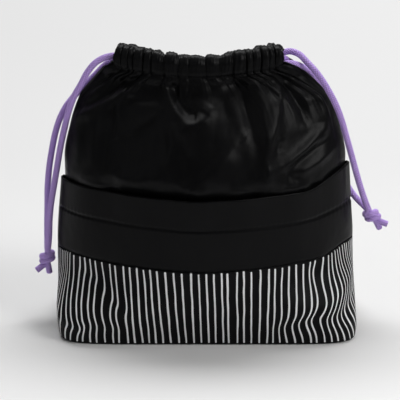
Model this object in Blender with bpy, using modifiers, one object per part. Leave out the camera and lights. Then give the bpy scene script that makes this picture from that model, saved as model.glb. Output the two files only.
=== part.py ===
"""A drawstring toiletry bag: two gathered cloth walls with cord casings at the mouth, a striped foot on a
boxed base, a deep outer pocket with a turned hem on the front, and two drawcords with a knot each.

Metres, +Z up. The front faces -Y, the bag stands on its base at z = 0.
Run with: blender --background --python part.py
"""

import math

import bmesh
import bpy
import numpy as np
from mathutils import Vector

# Cloth and clearances
CLOTH = 0.0008
CLEARANCE = 0.0003
LAYER_ROOM = 0.0006
SEAM_GAP = 0.0004
BASE_EASE = 0.0004

# Heights of the seams and edges
SEAM_HEIGHT = 0.064
POCKET_HEIGHT = 0.122
HEM_HEIGHT = 0.024
BILLOW_HEIGHT = 0.138
SHOULDER_HEIGHT = 0.166
COLLAR_HEIGHT = 0.188
RIM_HEIGHT = 0.2305
CASING_HEIGHT = 0.0235

# Widths across the bag, seam to seam
BASE_WIDTH = 0.234
BELLY_WIDTH = 0.242
POCKET_WIDTH = 0.231
BILLOW_WIDTH = 0.2226
SHOULDER_WIDTH = 0.2146
COLLAR_WIDTH = 0.197
NECK_WIDTH = 0.150
MOUTH_WIDTH = 0.132

# Reach of each wall from the plane of the side seams
BASE_REACH = 0.058
BELLY_REACH = 0.070
POCKET_REACH = 0.0715
BILLOW_REACH = 0.0655
SHOULDER_REACH = 0.055
COLLAR_REACH = 0.040
NECK_REACH = 0.026
MOUTH_REACH = 0.0235

# At this share of the seam's height the foot has this share of its swelling
SWELL_HEIGHT = 0.3
SWELL = 0.6

# The pocket stands off the wall behind it by this much at its edge. The wall's seams lie inside the pocket's.
POCKET_ROOM = 0.012
SEAM_TUCK = 0.003

# How far the middle of the bag leans to the right at its foot and to the left at its mouth
FOOT_LEAN = 0.0022
MOUTH_LEAN = -0.0050

# How far the mouth dips in the middle, at the front and at the back
FRONT_DIP = 0.0045
BACK_DIP = 0.0125

# The pocket's edge stands up at its right corner by this much, from this share of its width
CORNER_RISE = 0.009
CORNER_START = 0.93

# Squareness of the plan: high is a box, 2 is an ellipse, less is a lens
BASE_SQUARENESS = 7.0
BODY_SQUARENESS = 1.58
BOW_SQUARENESS = 1.8

# Casing
CORD_DIAMETER = 0.005
CASING_ROOM = 0.0071
CASING_TUCK = 0.0045
SEAM_JOIN = 0.004
INNER_EDGE_RISE = 0.0012
SCALLOP = 0.0011

# Gathers
GATHERS = 17
COLUMNS_PER_GATHER = 3
GATHER_HEIGHT = 0.0027
GATHER_FADE = 0.062
PUFF_ROUNDNESS = 0.7
PUFF_VARIATION = 0.22

# The cords lie this far below the rim in the casings, end this far inside the casing's end and turn beyond it
UPPER_DROP = 0.0100
LOWER_DROP = 0.0160
LEFT_INSET = 0.0096
RIGHT_INSET = 0.0081
TURN_INSET = 0.004
TURN_REACH = 0.0035

# Base
BASE_THICKNESS = 0.0012

# Knots
KNOT_RADIUS = 0.0066
TAIL_LENGTH = 0.009
KNOT_GAP = 0.0005
LEFT_TAILS = ((-0.80, -0.25, -0.55), (0.10, 0.30, -1.0))
RIGHT_TAILS = ((0.93, -0.20, -0.30), (0.42, 0.35, -0.84))

# Free runs of the cords, from inside the casing's end to the knot
LEFT_CORD_FRONT = (
    (-0.0620, -0.0084, 0.2202), (-0.0705, -0.0051, 0.2209), (-0.0770, -0.0058, 0.2200),
    (-0.0850, -0.0060, 0.2160), (-0.0918, -0.0060, 0.2085), (-0.0974, -0.0062, 0.1985),
    (-0.1030, -0.0060, 0.1890), (-0.1076, -0.0058, 0.1775), (-0.1118, -0.0056, 0.1622),
    (-0.1156, -0.0054, 0.1464), (-0.1187, -0.0050, 0.1305), (-0.1219, -0.0046, 0.1145),
    (-0.1250, -0.0040, 0.0982), (-0.1266, -0.0034, 0.0854), (-0.1276, -0.0031, 0.0704),
    (-0.1293, -0.0030, 0.0576),
)
LEFT_CORD_BACK = (
    (-0.0620, 0.0084, 0.2138), (-0.0705, 0.0051, 0.2145), (-0.0756, 0.0058, 0.2136),
    (-0.0806, 0.0074, 0.2098), (-0.0862, 0.0084, 0.2040), (-0.0918, 0.0084, 0.1984),
    (-0.0982, 0.0080, 0.1922), (-0.1044, 0.0074, 0.1858), (-0.1095, 0.0068, 0.1799),
    (-0.1152, 0.0060, 0.1704), (-0.1197, 0.0054, 0.1585), (-0.1233, 0.0050, 0.1436),
    (-0.1259, 0.0046, 0.1298), (-0.1281, 0.0040, 0.1114), (-0.1288, 0.0035, 0.0950),
    (-0.1296, 0.0032, 0.0780), (-0.1302, 0.0030, 0.0576),
)
RIGHT_CORD_FRONT = (
    (0.0535, -0.0078, 0.2143), (0.0605, -0.0053, 0.2142), (0.0670, -0.0050, 0.2148),
    (0.0735, -0.0006, 0.2124), (0.0800, 0.0054, 0.2078), (0.0865, 0.0110, 0.2006),
    (0.0920, 0.0160, 0.1910), (0.0968, 0.0200, 0.1800), (0.1005, 0.0225, 0.1665),
    (0.1040, 0.0235, 0.1520), (0.1075, 0.0225, 0.1375), (0.1115, 0.0195, 0.1230),
    (0.1165, 0.0150, 0.1100), (0.1230, 0.0095, 0.1010), (0.1324, 0.0031, 0.0926),
)
RIGHT_CORD_BACK = (
    (0.0535, 0.0078, 0.2200), (0.0605, 0.0051, 0.2211), (0.0668, 0.0042, 0.2226),
    (0.0735, 0.0014, 0.2210), (0.0800, -0.0030, 0.2154), (0.0865, -0.0072, 0.2090),
    (0.0922, -0.0096, 0.2016), (0.0974, -0.0104, 0.1932), (0.1034, -0.0100, 0.1818),
    (0.1080, -0.0092, 0.1700), (0.1120, -0.0084, 0.1572), (0.1160, -0.0074, 0.1442),
    (0.1201, -0.0064, 0.1305), (0.1244, -0.0052, 0.1165), (0.1284, -0.0042, 0.1050),
    (0.1331, -0.0030, 0.0930),
)

# Broad folds of a wall between the pocket's edge and the stitch line. Each is its crest, as shares of the
# half width and of that height, then its width and its rise as shares of the next two sizes.
FOLD_WIDTH = 0.010
FOLD_LIFT = 0.003
FOLD_FADE = 0.012
FOLDS = (
    (((-0.30, 0.99), (-0.25, 0.73), (-0.19, 0.56)), 0.7, 1.0),
    (((-0.10, 0.59), (-0.08, 0.42)), 1.1, -1.5),
    (((0.34, 0.95), (0.44, 0.62), (0.48, 0.33)), 1.0, 1.17),
    (((0.23, 0.98), (0.26, 0.80)), 0.6, -1.17),
    (((0.56, 0.96), (0.73, 0.71), (0.77, 0.49)), 0.6, -1.17),
    (((0.87, 0.66), (0.89, 0.42)), 0.9, 1.0),
    (((0.60, 0.33), (0.88, 0.16)), 0.9, 1.0),
    (((-0.63, 0.92), (-0.87, 0.68), (-0.99, 0.49)), 0.8, 1.0),
    (((-0.48, 0.64), (-0.60, 0.64)), 0.6, -1.0),
    (((-0.52, 0.45), (-0.56, 0.16)), 1.1, 1.0),
    (((-0.28, 0.45), (-0.32, 0.19)), 1.0, 0.83),
    (((0.19, 0.52), (0.24, 0.28)), 1.0, 0.83),
    (((-0.58, 0.09), (-0.28, 0.08), (-0.04, 0.07)), 0.8, 0.83),
)
SEAM_FADE = 0.04

# Fineness of the meshes
STRIPE_COLUMNS = 32
POCKET_COLUMNS = 30
FINE = 721
CORD_SPACING = 2.4 * CORD_DIAMETER
HIDDEN_SPACING = 2.1 * CORD_DIAMETER

# Worked out from the sizes above
STITCH_HEIGHT = RIM_HEIGHT - CASING_HEIGHT
CASING_FOOT = STITCH_HEIGHT + CASING_TUCK
CASING_DEPTH = CASING_ROOM + 2 * CLOTH
MOUTH_GAP = CASING_DEPTH + LAYER_ROOM
TURNED = CLEARANCE + 2 * CLOTH
COLUMNS = GATHERS * COLUMNS_PER_GATHER
UPPER_LEVEL = RIM_HEIGHT - UPPER_DROP
LOWER_LEVEL = RIM_HEIGHT - LOWER_DROP
LEFT_END = MOUTH_LEAN - MOUTH_WIDTH / 2
RIGHT_END = MOUTH_LEAN + MOUTH_WIDTH / 2
UPPER_HEIGHTS = [
    BILLOW_HEIGHT,
    (BILLOW_HEIGHT + SHOULDER_HEIGHT) / 2,
    SHOULDER_HEIGHT,
    (SHOULDER_HEIGHT + COLLAR_HEIGHT) / 2,
    COLLAR_HEIGHT,
    (COLLAR_HEIGHT + STITCH_HEIGHT) / 2,
    STITCH_HEIGHT,
]

BLACK = (0.012, 0.012, 0.014, 1.0)
STRIPED_GREY = (0.18, 0.18, 0.18, 1.0)
PURPLE = (0.27, 0.17, 0.47, 1.0)


def even_slopes(heights, values):
    """Slopes at the stations that keep the curve between them from overshooting."""
    rates = np.diff(values) / np.diff(heights)
    slopes = np.zeros(len(values))
    slopes[0], slopes[-1] = rates[0], rates[-1]
    for k in range(1, len(rates)):
        if rates[k - 1] * rates[k] > 0:
            slopes[k] = 2 * rates[k - 1] * rates[k] / (rates[k - 1] + rates[k])
    return slopes


def smooth_value(stations, height):
    """The value at this height of a smooth curve through (height, value) stations."""
    heights = [station[0] for station in stations]
    values = [station[1] for station in stations]
    if height <= heights[0]:
        return values[0]
    if height >= heights[-1]:
        return values[-1]
    slopes = even_slopes(heights, values)
    i = max(k for k, start in enumerate(heights) if start <= height)
    step = heights[i + 1] - heights[i]
    t = (height - heights[i]) / step
    return (
        (2 * t**3 - 3 * t**2 + 1) * values[i]
        + (t**3 - 2 * t**2 + t) * step * slopes[i]
        + (3 * t**2 - 2 * t**3) * values[i + 1]
        + (t**3 - t**2) * step * slopes[i + 1]
    )


def ramp(value, start, end):
    """0 before start, 1 after end, smooth between them."""
    t = min(max((value - start) / (end - start), 0.0), 1.0)
    return t * t * (3 - 2 * t)


def lean(height):
    stations = (
        (0.0, FOOT_LEAN),
        (SEAM_HEIGHT, 0.0),
        (COLLAR_HEIGHT, 0.0),
        (STITCH_HEIGHT, MOUTH_LEAN * 0.6),
        (CASING_FOOT, MOUTH_LEAN),
    )
    return smooth_value(stations, height)


def squareness(height):
    return BODY_SQUARENESS + (BASE_SQUARENESS - BODY_SQUARENESS) * (1 - ramp(height, 0.0, SEAM_HEIGHT)) ** 2


def outer_size(height, base, belly, pocket):
    """A size of the outer layer here, from its sizes at the floor, the seam and the pocket's edge."""
    stations = (
        (0.0, base),
        (SEAM_HEIGHT * SWELL_HEIGHT, base + (belly - base) * SWELL),
        (SEAM_HEIGHT, belly),
        (POCKET_HEIGHT, pocket),
    )
    return smooth_value(stations, height)


def outer_half_width(height):
    """Half the width of the outer layer, from the floor to the pocket's edge."""
    return outer_size(height, BASE_WIDTH / 2, BELLY_WIDTH / 2, POCKET_WIDTH / 2)


def outer_reach(height):
    """How far the outer layer stands forward of the side seams, from the floor to the pocket's edge."""
    return outer_size(height, BASE_REACH, BELLY_REACH, POCKET_REACH)


def upper_half_width(height):
    stations = (
        (POCKET_HEIGHT, BILLOW_WIDTH / 2),
        (BILLOW_HEIGHT, BILLOW_WIDTH / 2),
        (SHOULDER_HEIGHT, SHOULDER_WIDTH / 2),
        (COLLAR_HEIGHT, COLLAR_WIDTH / 2),
        (STITCH_HEIGHT, NECK_WIDTH / 2),
        (CASING_FOOT, MOUTH_WIDTH / 2),
    )
    return smooth_value(stations, height)


def upper_reach(height, edge_reach):
    stations = (
        (POCKET_HEIGHT, edge_reach),
        (BILLOW_HEIGHT, BILLOW_REACH),
        (SHOULDER_HEIGHT, SHOULDER_REACH),
        (COLLAR_HEIGHT, COLLAR_REACH),
        (STITCH_HEIGHT, NECK_REACH),
        (RIM_HEIGHT, MOUTH_REACH),
    )
    return smooth_value(stations, height)


def plan_curve(height, half_width, reach, columns, end_gap, side=1):
    """Points across one wall at this height, evenly spaced along it, and the outward normals there.

    Low down the plan is half a rounded box, then half a lens. At the casing it is a shallow bow.
    side is 1 for a front piece and -1 for one that is turned round to the back.
    """
    angles = np.linspace(-math.pi / 2, math.pi / 2, FINE)
    n = squareness(height)
    radius = (np.abs(np.sin(angles)) ** n + np.abs(np.cos(angles)) ** n) ** (-1 / n)
    bow = ramp(height, COLLAR_HEIGHT, STITCH_HEIGHT)
    turn = angles / (math.pi / 2)
    across = (1 - bow) * radius * np.sin(angles) + bow * turn
    forward = (1 - bow) * radius * np.cos(angles) + bow * (1 - np.abs(turn) ** BOW_SQUARENESS)
    x = side * lean(height) + half_width * across
    y = -(end_gap + (reach - end_gap) * forward)
    lengths = np.concatenate([[0.0], np.cumsum(np.hypot(np.diff(x), np.diff(y)))])
    wanted = np.linspace(0.0, lengths[-1], columns + 1)
    tangent_x, tangent_y = np.gradient(x, lengths), np.gradient(y, lengths)
    tx, ty = np.interp(wanted, lengths, tangent_x), np.interp(wanted, lengths, tangent_y)
    size = np.hypot(tx, ty)
    return np.interp(wanted, lengths, x), np.interp(wanted, lengths, y), ty / size, -tx / size


def gather_puff(share):
    """Height of the gathered cloth, 0 at each pinch and 1 between them; share runs from 0 to 1 across."""
    turn = share * GATHERS
    bulge = abs(math.sin(math.pi * turn)) ** PUFF_ROUNDNESS
    unlike = math.sin(2.3 * math.floor(turn) + 0.6)
    return bulge * (1 + PUFF_VARIATION * (unlike - 1))


def gather_rise(share, height):
    """How far the gathers lift the cloth here; they fade downwards from the casing."""
    start = STITCH_HEIGHT - GATHER_FADE
    return GATHER_HEIGHT * gather_puff(share) * ramp(height, start, STITCH_HEIGHT) ** 1.3


def distance_to_crest(x, height, crest):
    """Distance from this place on a wall to a fold's crest, which is given in shares."""
    points = []
    for across, up in crest:
        points.append((across * SHOULDER_WIDTH / 2, POCKET_HEIGHT + up * (STITCH_HEIGHT - POCKET_HEIGHT)))
    best = math.inf
    for (x0, h0), (x1, h1) in zip(points[:-1], points[1:]):
        dx, dh = x1 - x0, h1 - h0
        t = min(max(((x - x0) * dx + (height - h0) * dh) / (dx * dx + dh * dh), 0.0), 1.0)
        best = min(best, math.hypot(x - x0 - t * dx, height - h0 - t * dh))
    return best


def fold_rise(x, height, side):
    """How far the broad folds lift the cloth here. The back wall has the same folds, turned round."""
    rise = 0.0
    for crest, width, lift in FOLDS:
        away = distance_to_crest(side * x, height, crest) / (width * FOLD_WIDTH)
        rise += lift * FOLD_LIFT * math.exp(-(away**2))
    foot_fade = ramp(height, POCKET_HEIGHT, POCKET_HEIGHT + FOLD_FADE)
    return rise * foot_fade * (1 - ramp(height, (COLLAR_HEIGHT + STITCH_HEIGHT) / 2, STITCH_HEIGHT))


def material(name, colour, roughness, sheen):
    made = bpy.data.materials.new(name)
    made.use_nodes = True
    shader = made.node_tree.nodes["Principled BSDF"]
    shader.inputs["Base Color"].default_value = colour
    shader.inputs["Roughness"].default_value = roughness
    shader.inputs["Metallic"].default_value = 0.0
    shader.inputs["Sheen Weight"].default_value = sheen
    return made


def cloth_sheet(name, rows, columns, finish, turned=False):
    """A grid bent over rows of points, thickened inwards. A row is a function of the column's number."""
    mesh = bpy.data.meshes.new(name)
    bm = bmesh.new()
    last = len(rows) - 1
    bmesh.ops.create_grid(bm, x_segments=columns, y_segments=last, size=1.0)
    for vertex in bm.verts:
        column = round((vertex.co.x + 1) / 2 * columns)
        row = round((vertex.co.y + 1) / 2 * last)
        vertex.co = rows[row][column]
    bm.to_mesh(mesh)
    bm.free()
    piece = bpy.data.objects.new(name, mesh)
    if turned:
        piece.rotation_euler[2] = math.pi
    mesh.shade_smooth()
    mesh.materials.append(finish)
    thicken = piece.modifiers.new("Cloth thickness", "SOLIDIFY")
    thicken.thickness = CLOTH
    thicken.offset = -1.0
    return piece


def row_points(curve, height, rises, columns, inward=0.0, lifts=None):
    """One row of a sheet: the plan curve moved outwards by each column's rise, inwards as a whole, and up."""
    x, y, nx, ny = curve
    row = []
    for i in range(columns + 1):
        out = rises[i] - inward
        up = 0.0 if lifts is None else lifts[i]
        row.append((x[i] + nx[i] * out, y[i] + ny[i] * out, height + up))
    return row


def mouth_dip(x, height, side):
    """How far the mouth dips along a row, and with it the cloth below, down to the shoulder."""
    across = 2 * (x - x[0]) / (x[-1] - x[0]) - 1
    deepest = FRONT_DIP if side > 0 else BACK_DIP
    return deepest * (1 - across**2) ** 2 * ramp(height, SHOULDER_HEIGHT, STITCH_HEIGHT)


def wall_row(height, edge_reach, side, columns):
    """A row of a wall above the pocket's edge, with its gathers and folds."""
    bow_gap = SEAM_GAP + CLOTH * ramp(height, COLLAR_HEIGHT, STITCH_HEIGHT)
    opened = ramp(height, STITCH_HEIGHT - SEAM_JOIN, STITCH_HEIGHT + SEAM_JOIN)
    end_gap = bow_gap + (MOUTH_GAP - bow_gap) * opened
    curve = plan_curve(
        height, upper_half_width(height), upper_reach(height, edge_reach), columns, end_gap, side
    )
    rises = []
    for i in range(columns + 1):
        seam_fade = ramp(min(i, columns - i) / columns, 0.0, SEAM_FADE)
        rises.append(gather_rise(i / columns, height) + seam_fade * fold_rise(curve[0][i], height, side))
    return row_points(curve, height, rises, columns, lifts=-mouth_dip(curve[0], height, side))


def casing_rows(side, columns):
    """The casing: up the outside, over the rim and down the inside to the stitch line.

    A step is a height, how far the cloth lies inwards there, and the share of the puff that it takes up.
    """
    inside_top = RIM_HEIGHT - CASING_DEPTH / 2
    steps = (
        (CASING_FOOT, 0.0, 1.0),
        ((CASING_FOOT + inside_top) / 2, 0.0, 1.0),
        (inside_top, 0.0, 0.9),
        (RIM_HEIGHT, CASING_DEPTH / 2, 0.0),
        (inside_top, CASING_DEPTH, -0.9),
        (CASING_FOOT, CASING_DEPTH, -1.0),
        (STITCH_HEIGHT + INNER_EDGE_RISE, TURNED, 0.6),
    )
    rows = []
    for height, inward, share_of_puff in steps:
        plan_height = max(height, STITCH_HEIGHT + SEAM_JOIN)
        curve = plan_curve(
            plan_height, upper_half_width(height), upper_reach(height, NECK_REACH), columns, MOUTH_GAP, side
        )
        puffs = [gather_puff(i / columns) for i in range(columns + 1)]
        rises = [share_of_puff * GATHER_HEIGHT * puff for puff in puffs]
        scallop = SCALLOP if height == RIM_HEIGHT else 0.0
        lifts = scallop * (np.array(puffs) - 0.8) - mouth_dip(curve[0], height, side)
        rows.append(row_points(curve, height, rises, columns, inward, lifts))
    return rows


def front_panel(finish):
    """The front wall, from the base behind the pocket up to the casing."""
    rows = []
    foot = BASE_THICKNESS + CLEARANCE
    for height in (foot, SEAM_HEIGHT, POCKET_HEIGHT - HEM_HEIGHT / 2):
        room = CLOTH + CLEARANCE + LAYER_ROOM + POCKET_ROOM * (height / POCKET_HEIGHT) ** 3
        curve = plan_curve(
            height, outer_half_width(height) - SEAM_TUCK, outer_reach(height) - room, COLUMNS, SEAM_GAP
        )
        rows.append(row_points(curve, height, [0.0] * (COLUMNS + 1), COLUMNS))
    edge_reach = POCKET_REACH - POCKET_ROOM - 2 * CLOTH
    for height in [POCKET_HEIGHT + TURNED] + UPPER_HEIGHTS:
        rows.append(wall_row(height, edge_reach, 1, COLUMNS))
    rows += casing_rows(1, COLUMNS)
    return cloth_sheet("front_panel", rows, COLUMNS, finish)


def back_panel(finish):
    """The back wall, from the seam with the striped foot up to the casing."""
    rows = []
    for height in (SEAM_HEIGHT + CLEARANCE / 2, (SEAM_HEIGHT + POCKET_HEIGHT) / 2):
        curve = plan_curve(
            height, outer_half_width(height), outer_reach(height), COLUMNS, SEAM_GAP, -1
        )
        rows.append(row_points(curve, height, [0.0] * (COLUMNS + 1), COLUMNS))
    for height in [POCKET_HEIGHT] + UPPER_HEIGHTS:
        rows.append(wall_row(height, POCKET_REACH, -1, COLUMNS))
    rows += casing_rows(-1, COLUMNS)
    return cloth_sheet("back_panel", rows, COLUMNS, finish, turned=True)


def foot_panel(name, finish, side):
    """A striped panel, from the floor to the seam."""
    rows = []
    top = SEAM_HEIGHT - CLEARANCE / 2
    for height in (0.0, top * SWELL_HEIGHT / 3, top * SWELL_HEIGHT, top * 2 * SWELL_HEIGHT, top):
        curve = plan_curve(
            height, outer_half_width(height), outer_reach(height), STRIPE_COLUMNS, SEAM_GAP, side
        )
        rows.append(row_points(curve, height, [0.0] * (STRIPE_COLUMNS + 1), STRIPE_COLUMNS))
    return cloth_sheet(name, rows, STRIPE_COLUMNS, finish, turned=side < 0)


def pocket_band(finish):
    """The pocket's upper band, with its edge turned down inside as a hem."""
    steps = (
        (SEAM_HEIGHT + CLEARANCE / 2, 0.0),
        ((SEAM_HEIGHT + POCKET_HEIGHT - HEM_HEIGHT) / 2, 0.0),
        (POCKET_HEIGHT - HEM_HEIGHT, 0.0),
        (POCKET_HEIGHT - TURNED / 2, 0.0),
        (POCKET_HEIGHT, TURNED / 2),
        (POCKET_HEIGHT - TURNED / 2, TURNED),
        (POCKET_HEIGHT - HEM_HEIGHT, TURNED),
    )
    rows = []
    for height, inward in steps:
        curve = plan_curve(height, outer_half_width(height), outer_reach(height), POCKET_COLUMNS, SEAM_GAP)
        raised = CORNER_RISE * ramp(height, SEAM_HEIGHT, POCKET_HEIGHT) ** 2
        lifts = [raised * ramp(i / POCKET_COLUMNS, CORNER_START, 1.0) for i in range(POCKET_COLUMNS + 1)]
        rows.append(row_points(curve, height, [0.0] * (POCKET_COLUMNS + 1), POCKET_COLUMNS, inward, lifts))
    return cloth_sheet("pocket_band", rows, POCKET_COLUMNS, finish)


def base_panel(finish):
    """The flat base, cut to lie inside the foot panels."""
    inset = CLOTH + CLEARANCE + BASE_EASE
    x, y, nx, ny = plan_curve(0.0, BASE_WIDTH / 2, BASE_REACH, STRIPE_COLUMNS, 0.0)
    half = [(x[i] - nx[i] * inset, y[i] - ny[i] * inset) for i in range(STRIPE_COLUMNS + 1)]
    outline = half[:-1] + [(px, -py) for px, py in half[:0:-1]]
    curve = bpy.data.curves.new("base_panel", "CURVE")
    curve.dimensions = "2D"
    curve.fill_mode = "BOTH"
    curve.extrude = BASE_THICKNESS / 2
    edge = curve.splines.new("POLY")
    edge.points.add(len(outline) - 1)
    for point, (px, py) in zip(edge.points, outline):
        point.co = (px, py, 0.0, 1.0)
    edge.use_cyclic_u = True
    curve.materials.append(finish)
    piece = bpy.data.objects.new("base_panel", curve)
    piece.location[2] = BASE_THICKNESS / 2
    return piece


def smooth_route(route, spacing):
    """Points every spacing along a smooth curve through the route's own points."""
    points = np.array(route)
    chord = np.concatenate([[0.0], np.cumsum(np.linalg.norm(np.diff(points, axis=0), axis=1))])
    slopes = np.gradient(points, chord, axis=0)
    fine = []
    for i in range(len(points) - 1):
        step = chord[i + 1] - chord[i]
        for t in np.linspace(0.0, 1.0, 24, endpoint=False):
            fine.append(
                (2 * t**3 - 3 * t**2 + 1) * points[i]
                + (t**3 - 2 * t**2 + t) * step * slopes[i]
                + (3 * t**2 - 2 * t**3) * points[i + 1]
                + (t**3 - t**2) * step * slopes[i + 1]
            )
    fine = np.array(fine + [points[-1]])
    length = np.concatenate([[0.0], np.cumsum(np.linalg.norm(np.diff(fine, axis=0), axis=1))])
    count = max(2, round(length[-1] / spacing))
    wanted = np.linspace(0.0, length[-1], count + 1)
    return [tuple(np.interp(w, length, fine[:, k]) for k in range(3)) for w in wanted]


def cord_tube(name, route, finish, spacing=CORD_SPACING):
    """A round cord along the route."""
    curve = bpy.data.curves.new(name, "CURVE")
    curve.dimensions = "3D"
    curve.bevel_depth = CORD_DIAMETER / 2
    curve.bevel_resolution = 2
    curve.use_fill_caps = True
    points = smooth_route(route, spacing)
    line = curve.splines.new("POLY")
    line.points.add(len(points) - 1)
    for point, place in zip(line.points, points):
        point.co = (*place, 1.0)
    curve.materials.append(finish)
    return bpy.data.objects.new(name, curve)


def channel_run(level, start_x, end_x, side):
    """The middle line of a casing's channel at this level, from start_x to end_x, laid along the front."""
    centre = CASING_DEPTH / 2
    x, y, nx, ny = plan_curve(
        level, upper_half_width(level), upper_reach(level, NECK_REACH), COLUMNS, MOUTH_GAP
    )
    middle_x, middle_y = x - nx * centre, y - ny * centre
    middle_z = level - mouth_dip(x, level, side)
    order = np.argsort(middle_x)
    run = []
    for stop in np.linspace(start_x, end_x, 9):
        place_y = float(np.interp(stop, middle_x[order], middle_y[order]))
        place_z = float(np.interp(stop, middle_x[order], middle_z[order]))
        run.append((stop, place_y, place_z))
    return run


def hidden_cord(name, front_level, back_level, exit_x, turn_x, finish):
    """A cord's stretch inside the casings: along the front, round the far end and back along the back."""
    front = channel_run(front_level, exit_x, turn_x, 1)
    back = [(x, -y, z) for x, y, z in channel_run(back_level, turn_x, exit_x, -1)]
    onward = math.copysign(1.0, turn_x - exit_x)
    turn = turn_x + onward * (TURN_INSET + TURN_REACH)
    route = front + [(turn, 0.0, (front[-1][2] + back[0][2]) / 2)] + back
    return cord_tube(name, route, finish, HIDDEN_SPACING)


def knot_centre(front_route, back_route):
    """The middle of a knot that both cords run into."""
    ends = np.array([front_route[-1], back_route[-1]])
    aim = (ends - np.array([front_route[-2], back_route[-2]])).sum(axis=0) * (1, 0, 1)
    apart = np.linalg.norm(ends[1] - ends[0]) / 2
    seat = math.sqrt((KNOT_RADIUS + KNOT_GAP) ** 2 - apart**2)
    return ends.mean(axis=0) * (1, 0, 1) + aim / np.linalg.norm(aim) * seat


def knot(name, centre, tails, finish):
    """A tight lump with the two cut tails standing out of it, joined into one solid."""
    bm = bmesh.new()
    bmesh.ops.create_icosphere(bm, subdivisions=2, radius=KNOT_RADIUS)
    mesh = bpy.data.meshes.new(name)
    bm.to_mesh(mesh)
    bm.free()
    piece = bpy.data.objects.new(name, mesh)
    piece.location = centre
    mesh.materials.append(finish)
    cutters = []
    for number, direction in enumerate(tails):
        aim = np.array(direction) / np.linalg.norm(direction)
        length = KNOT_RADIUS + TAIL_LENGTH
        bm = bmesh.new()
        bmesh.ops.create_cone(
            bm, cap_ends=True, segments=10, radius1=CORD_DIAMETER / 2, radius2=CORD_DIAMETER / 2, depth=length
        )
        tail_mesh = bpy.data.meshes.new(f"{name}_tail_{number}")
        bm.to_mesh(tail_mesh)
        bm.free()
        tail = bpy.data.objects.new(f"{name}_tail_{number}", tail_mesh)
        tail.location = [centre[k] + aim[k] * length / 2 for k in range(3)]
        tail.rotation_mode = "QUATERNION"
        tail.rotation_quaternion = turn_to(aim)
        tail.hide_render = True
        tail.display_type = "WIRE"
        joined = piece.modifiers.new(f"Tail {number}", "BOOLEAN")
        joined.operation = "UNION"
        joined.object = tail
        cutters.append(tail)
    return piece, cutters


def turn_to(aim):
    """The turn that brings +Z onto this direction."""
    return Vector((0.0, 0.0, 1.0)).rotation_difference(Vector(aim))


def clear_scene():
    for old in list(bpy.data.objects):
        bpy.data.objects.remove(old, do_unlink=True)


def main():
    clear_scene()
    parts = bpy.data.collections.new("Toiletry bag")
    helpers = bpy.data.collections.new("Cutters")
    bpy.context.scene.collection.children.link(parts)
    bpy.context.scene.collection.children.link(helpers)

    black = material("Black satin", BLACK, 0.42, 0.2)
    striped = material("Striped cloth", STRIPED_GREY, 0.55, 0.1)
    base_black = material("Base cloth", BLACK, 0.6, 0.1)
    purple = material("Purple braid", PURPLE, 0.7, 0.2)

    left_exit, left_turn = LEFT_END + LEFT_INSET, LEFT_END + TURN_INSET
    right_exit, right_turn = RIGHT_END - RIGHT_INSET, RIGHT_END - TURN_INSET

    pieces = [
        front_panel(black),
        back_panel(black),
        pocket_band(black),
        foot_panel("pocket_stripe_panel", striped, 1),
        foot_panel("back_stripe_panel", striped, -1),
        base_panel(base_black),
        hidden_cord("left_cord_in_casing", UPPER_LEVEL, LOWER_LEVEL, left_exit, right_turn, purple),
        hidden_cord("right_cord_in_casing", LOWER_LEVEL, UPPER_LEVEL, right_exit, left_turn, purple),
        cord_tube("left_cord_front", LEFT_CORD_FRONT, purple),
        cord_tube("left_cord_back", LEFT_CORD_BACK, purple),
        cord_tube("right_cord_front", RIGHT_CORD_FRONT, purple),
        cord_tube("right_cord_back", RIGHT_CORD_BACK, purple),
    ]
    for name, front_route, back_route, tails in (
        ("left_knot", LEFT_CORD_FRONT, LEFT_CORD_BACK, LEFT_TAILS),
        ("right_knot", RIGHT_CORD_FRONT, RIGHT_CORD_BACK, RIGHT_TAILS),
    ):
        piece, cutters = knot(name, knot_centre(front_route, back_route), tails, purple)
        pieces.append(piece)
        for cutter in cutters:
            helpers.objects.link(cutter)
    for piece in pieces:
        parts.objects.link(piece)


main()
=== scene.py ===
"""The looks of a drawstring toiletry bag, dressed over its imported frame.

Black satin walls gathered into cord casings, a striped foot on a boxed base, an outer pocket with a turned
hem, and two braided cords with a knot each. Metres, +Z up, the front faces -Y.
"""

import math

import bpy
import numpy as np
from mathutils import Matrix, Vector, noise


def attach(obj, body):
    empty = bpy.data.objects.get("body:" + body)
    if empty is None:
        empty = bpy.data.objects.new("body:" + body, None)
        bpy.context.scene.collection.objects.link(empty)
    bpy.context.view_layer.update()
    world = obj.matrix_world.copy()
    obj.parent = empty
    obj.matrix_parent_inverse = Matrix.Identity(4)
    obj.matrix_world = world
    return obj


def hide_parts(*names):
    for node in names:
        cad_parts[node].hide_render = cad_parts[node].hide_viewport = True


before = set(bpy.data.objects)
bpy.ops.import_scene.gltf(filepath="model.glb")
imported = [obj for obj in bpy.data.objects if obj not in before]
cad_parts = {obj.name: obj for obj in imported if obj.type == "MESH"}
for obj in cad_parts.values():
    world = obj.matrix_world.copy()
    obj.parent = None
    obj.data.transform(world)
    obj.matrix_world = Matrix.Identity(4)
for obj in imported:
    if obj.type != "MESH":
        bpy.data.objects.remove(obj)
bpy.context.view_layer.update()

# Heights of the seams and edges
SEAM_HEIGHT = 0.064
POCKET_HEIGHT = 0.122
HEM_HEIGHT = 0.024
BILLOW_HEIGHT = 0.138
SHOULDER_HEIGHT = 0.166
COLLAR_HEIGHT = 0.188
STITCH_HEIGHT = 0.207
RIM_HEIGHT = 0.2305
CASING_LINE = 0.2115

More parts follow.
